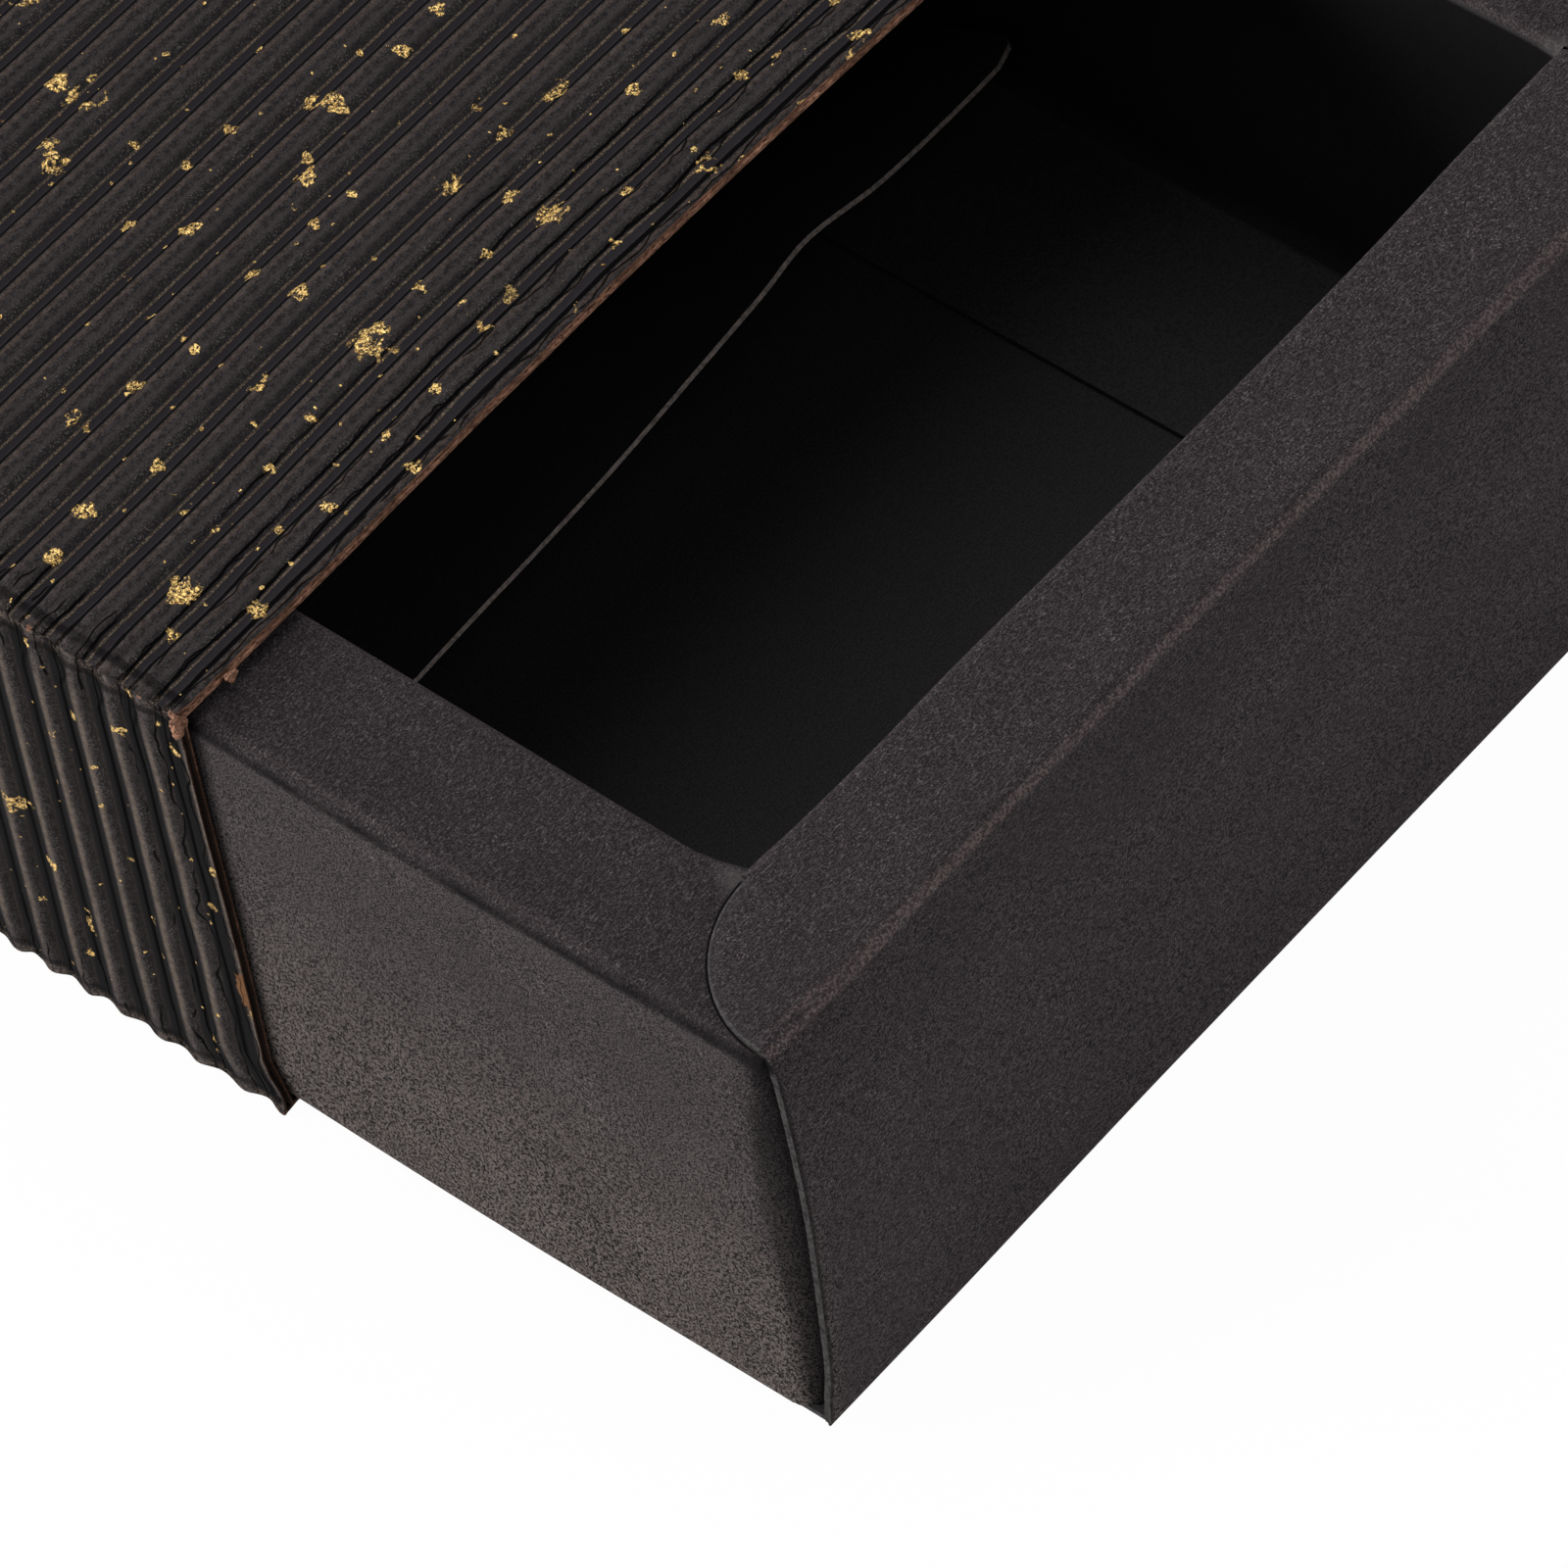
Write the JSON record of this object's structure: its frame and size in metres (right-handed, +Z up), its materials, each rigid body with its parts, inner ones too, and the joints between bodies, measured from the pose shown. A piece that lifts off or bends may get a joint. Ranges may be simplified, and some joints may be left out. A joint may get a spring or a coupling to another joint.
{
  "type": "sliding drawer gift box",
  "caption": "Small card gift box: a hollow-walled tray drawer that slides out of a fluted paper sleeve open at both ends.",
  "frame": {"origin": "under the middle of the sleeve, on the flat tops of the flutes that the box stands on", "axes": "+Z up, +X across the box to the right, the drawer pulls out along -Y"},
  "size_m": [0.1122, 0.139, 0.0429],
  "materials": {
    "tray_card": "matte black fibrous card",
    "sleeve_liner": "matte black paper, brown at its cut edges",
    "fluted_facing": "fluted matte black paper with scattered gold foil flecks"
  },
  "bodies": {
    "sleeve": {"top_liner": "sleeve_liner", "bottom_liner": "sleeve_liner", "left_liner": "sleeve_liner", "right_liner": "sleeve_liner", "sleeve_glue_flap": "sleeve_liner", "top_fluted_facing": "fluted_facing", "bottom_fluted_facing": "fluted_facing", "left_fluted_facing": "fluted_facing", "right_fluted_facing": "fluted_facing"},
    "drawer": {"tray_base": "tray_card", "front_outer_wall": "tray_card", "back_outer_wall": "tray_card", "left_outer_wall": "tray_card", "right_outer_wall": "tray_card", "front_rim": "tray_card", "back_rim": "tray_card", "left_rim": "tray_card", "right_rim": "tray_card", "front_inner_wall": "tray_card", "back_inner_wall": "tray_card", "left_inner_wall": "tray_card", "right_inner_wall": "tray_card", "front_left_corner_tab": "tray_card", "front_right_corner_tab": "tray_card", "back_left_corner_tab": "tray_card", "back_right_corner_tab": "tray_card", "left_floor_flap": "tray_card", "right_floor_flap": "tray_card"},
    "front_flap": {"front_floor_flap": "tray_card"},
    "back_flap": {"back_floor_flap": "tray_card"}
  },
  "joints": [
    {"name": "drawer_slide", "type": "slide", "parent": "sleeve", "child": "drawer", "axis": [0, -1, 0], "range_m": [-0.049, 0.044]},
    {"name": "front_flap_crease", "type": "hinge", "parent": "drawer", "child": "front_flap", "pos_m": [0, -0.0827, 0.00295], "axis": [1, 0, 0], "range_deg": [0, 85]},
    {"name": "back_flap_crease", "type": "hinge", "parent": "drawer", "child": "back_flap", "pos_m": [0, -0.0153, 0.00295], "axis": [-1, 0, 0], "range_deg": [-27, 59], "stiffness_Nm_per_rad": 0.001, "springref_deg": 4.01}
  ]
}
